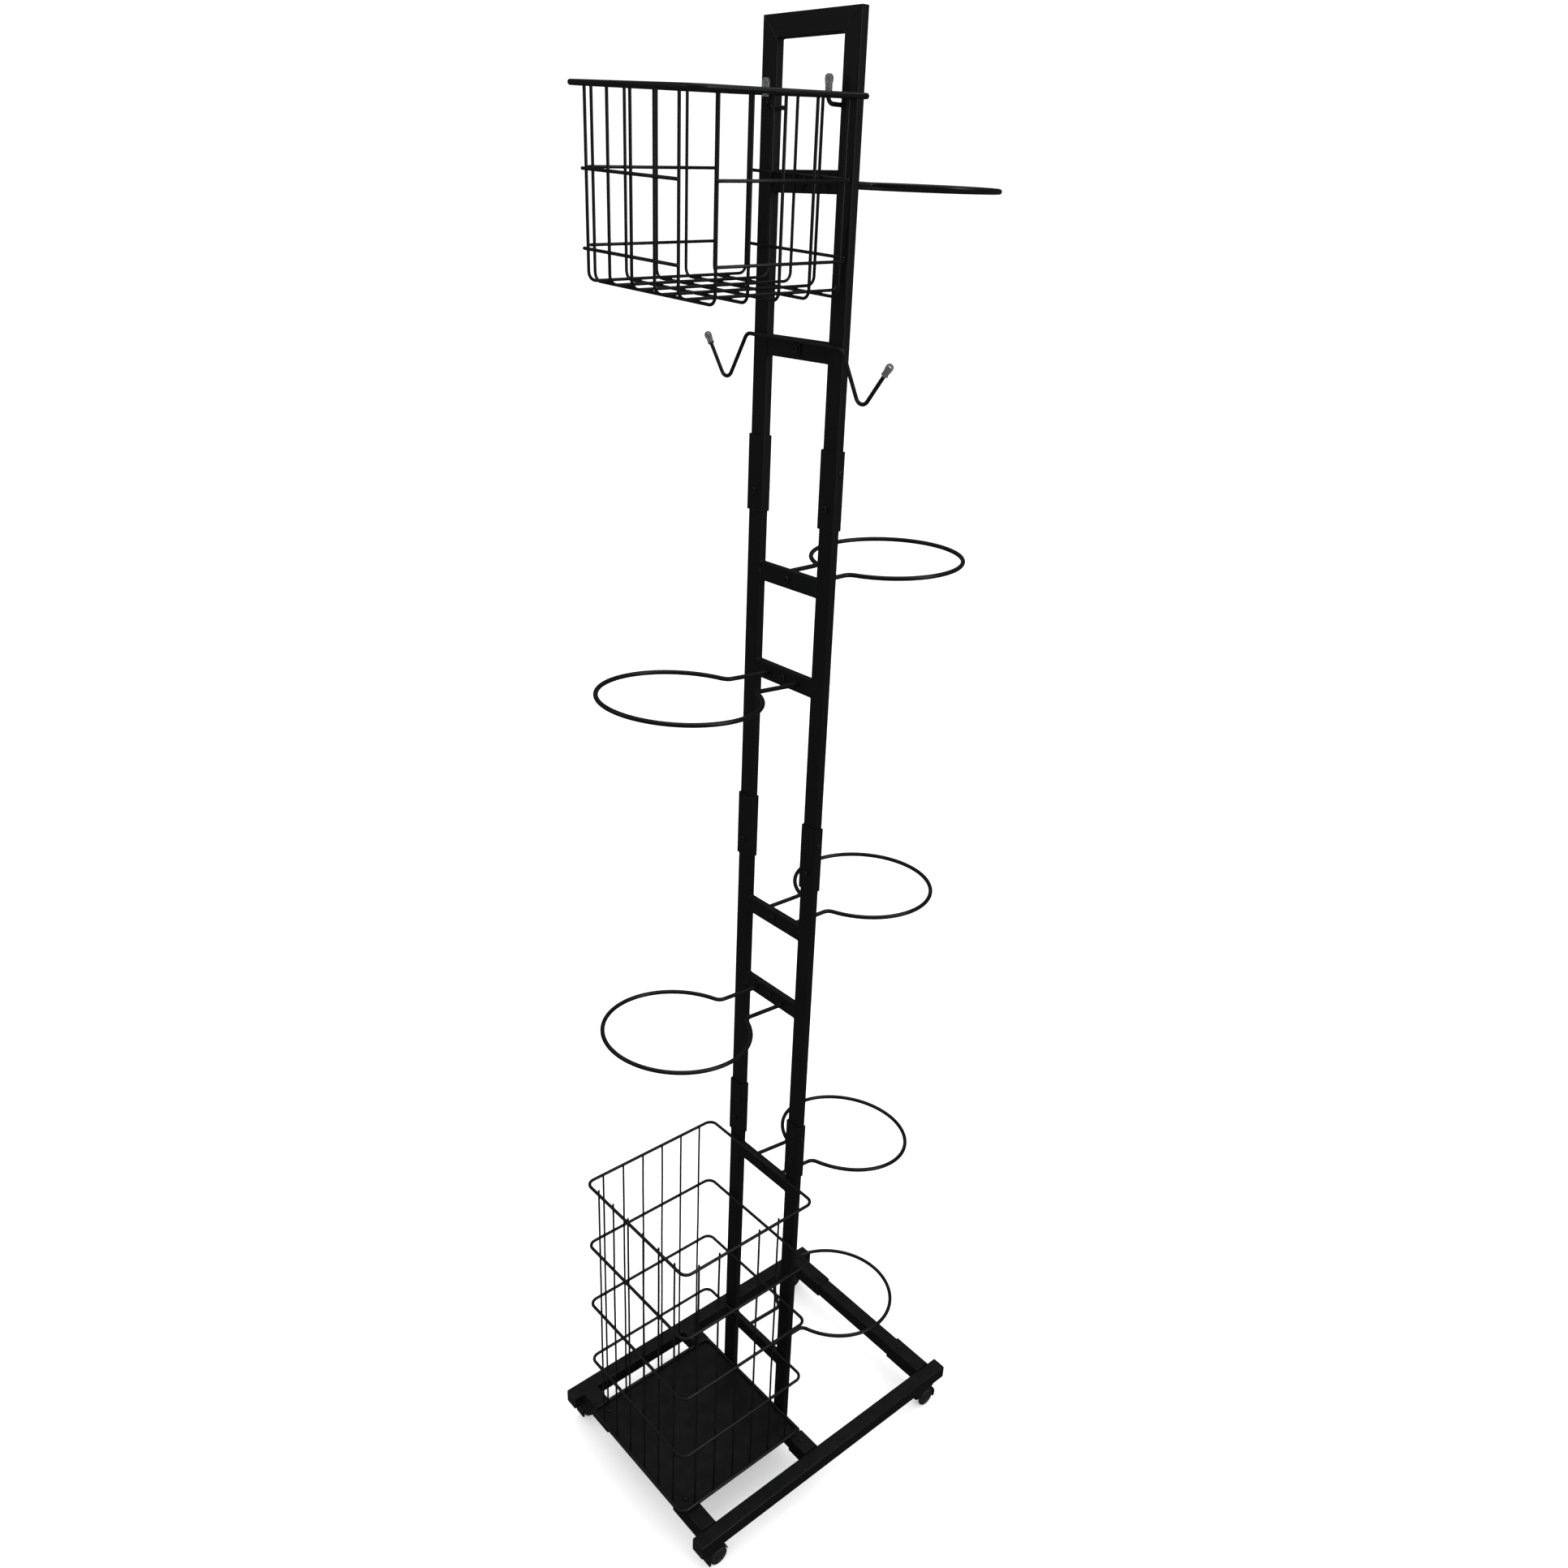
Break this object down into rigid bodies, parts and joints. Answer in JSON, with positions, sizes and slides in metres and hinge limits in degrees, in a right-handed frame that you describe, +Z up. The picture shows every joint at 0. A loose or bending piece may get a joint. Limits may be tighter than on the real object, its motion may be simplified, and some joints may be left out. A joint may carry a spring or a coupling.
{
  "type": "ball display stand",
  "caption": "Free-standing rack on castors: a slim welded ladder with wire ball rings, a double hook, a hanging wire basket and a wire bin on a tray, all powder-coated black.",
  "frame": {"origin": "on the floor, midway between the two uprights and in the plane of the ladder", "axes": "+Z up, +X along the rungs to the right seen from the front, -Y towards the front, where the basket and the bin are"},
  "size_m": [0.308, 0.4627, 1.734],
  "materials": {
    "powder_coat": "semi-matt black powder coat, fine orange peel",
    "coated_wire": "satin black powder-coated wire",
    "screw": "blackened steel, satin",
    "soft_cap": "clear soft vinyl",
    "castor_body": "moulded black nylon",
    "castor_wheel": "black hard plastic with a dusty tread",
    "stem_steel": "plain steel stem"
  },
  "bodies": {
    "stand": {"base_bar_left": "powder_coat", "base_bar_right": "powder_coat", "front_cross_tube": "powder_coat", "middle_cross_tube": "powder_coat", "rear_cross_tube": "powder_coat", "tray": "powder_coat", "tray_screw_left": "screw", "tray_screw_right": "screw", "castor_stem_front_left": "stem_steel", "castor_stem_front_right": "stem_steel", "castor_stem_rear_left": "stem_steel", "castor_stem_rear_right": "stem_steel", "bottom_ladder": "powder_coat", "lower_ladder": "powder_coat", "upper_ladder": "powder_coat", "top_ladder": "powder_coat", "joint_sleeve_lower_left": "powder_coat", "sleeve_screw_lower_left": "screw", "joint_sleeve_lower_right": "powder_coat", "sleeve_screw_lower_right": "screw", "joint_sleeve_middle_left": "powder_coat", "sleeve_screw_middle_left": "screw", "joint_sleeve_middle_right": "powder_coat", "sleeve_screw_middle_right": "screw", "joint_sleeve_upper_left": "powder_coat", "sleeve_screw_upper_left": "screw", "joint_sleeve_upper_right": "powder_coat", "sleeve_screw_upper_right": "screw", "ball_ring_1": "coated_wire", "ring_bolt_1": "screw", "ball_ring_2": "coated_wire", "ring_bolt_2": "screw", "ball_ring_3": "coated_wire", "ring_bolt_3": "screw", "ball_ring_4": "coated_wire", "ring_bolt_4": "screw", "ball_ring_5": "coated_wire", "ring_bolt_5": "screw", "ball_ring_6": "coated_wire", "ring_bolt_6": "screw", "ball_ring_7": "coated_wire", "ring_bolt_7": "screw", "double_hook": "coated_wire", "hook_bolt": "screw", "hook_cap_left": "soft_cap", "hook_cap_right": "soft_cap", "basket_hook_left": "coated_wire", "basket_hook_right": "coated_wire", "basket_hook_cap_left": "soft_cap", "basket_hook_cap_right": "soft_cap"},
    "basket": {"hanging_basket": "coated_wire"},
    "bin": {"wire_bin": "coated_wire"},
    "castor_front_left": {"castor_housing_front_left": "castor_body"},
    "wheel_front_left": {"castor_wheel_front_left": "castor_wheel"},
    "castor_front_right": {"castor_housing_front_right": "castor_body"},
    "wheel_front_right": {"castor_wheel_front_right": "castor_wheel"},
    "castor_rear_left": {"castor_housing_rear_left": "castor_body"},
    "wheel_rear_left": {"castor_wheel_rear_left": "castor_wheel"},
    "castor_rear_right": {"castor_housing_rear_right": "castor_body"},
    "wheel_rear_right": {"castor_wheel_rear_right": "castor_wheel"}
  },
  "joints": [
    {"name": "swivel_front_left", "type": "hinge", "parent": "stand", "child": "castor_front_left", "pos_m": [-0.144, -0.197, 0.035], "axis": [0, 0, 1], "continuous": true},
    {"name": "roll_front_left", "type": "hinge", "parent": "castor_front_left", "child": "wheel_front_left", "pos_m": [-0.144, -0.185, 0.013], "axis": [1, 0, 0], "continuous": true},
    {"name": "swivel_front_right", "type": "hinge", "parent": "stand", "child": "castor_front_right", "pos_m": [0.144, -0.197, 0.035], "axis": [0, 0, 1], "continuous": true},
    {"name": "roll_front_right", "type": "hinge", "parent": "castor_front_right", "child": "wheel_front_right", "pos_m": [0.144, -0.185, 0.013], "axis": [1, 0, 0], "continuous": true},
    {"name": "swivel_rear_left", "type": "hinge", "parent": "stand", "child": "castor_rear_left", "pos_m": [-0.144, 0.21, 0.035], "axis": [0, 0, 1], "continuous": true},
    {"name": "roll_rear_left", "type": "hinge", "parent": "castor_rear_left", "child": "wheel_rear_left", "pos_m": [-0.144, 0.198, 0.013], "axis": [1, 0, 0], "continuous": true},
    {"name": "swivel_rear_right", "type": "hinge", "parent": "stand", "child": "castor_rear_right", "pos_m": [0.144, 0.21, 0.035], "axis": [0, 0, 1], "continuous": true},
    {"name": "roll_rear_right", "type": "hinge", "parent": "castor_rear_right", "child": "wheel_rear_right", "pos_m": [0.144, 0.198, 0.013], "axis": [1, 0, 0], "continuous": true},
    {"name": "basket_lift", "type": "slide", "parent": "stand", "child": "basket", "axis": [0, 0, 1], "range_m": [0, 0.03]},
    {"name": "bin_lift", "type": "slide", "parent": "stand", "child": "bin", "axis": [0, 0, 1], "range_m": [0, 0.12]}
  ]
}
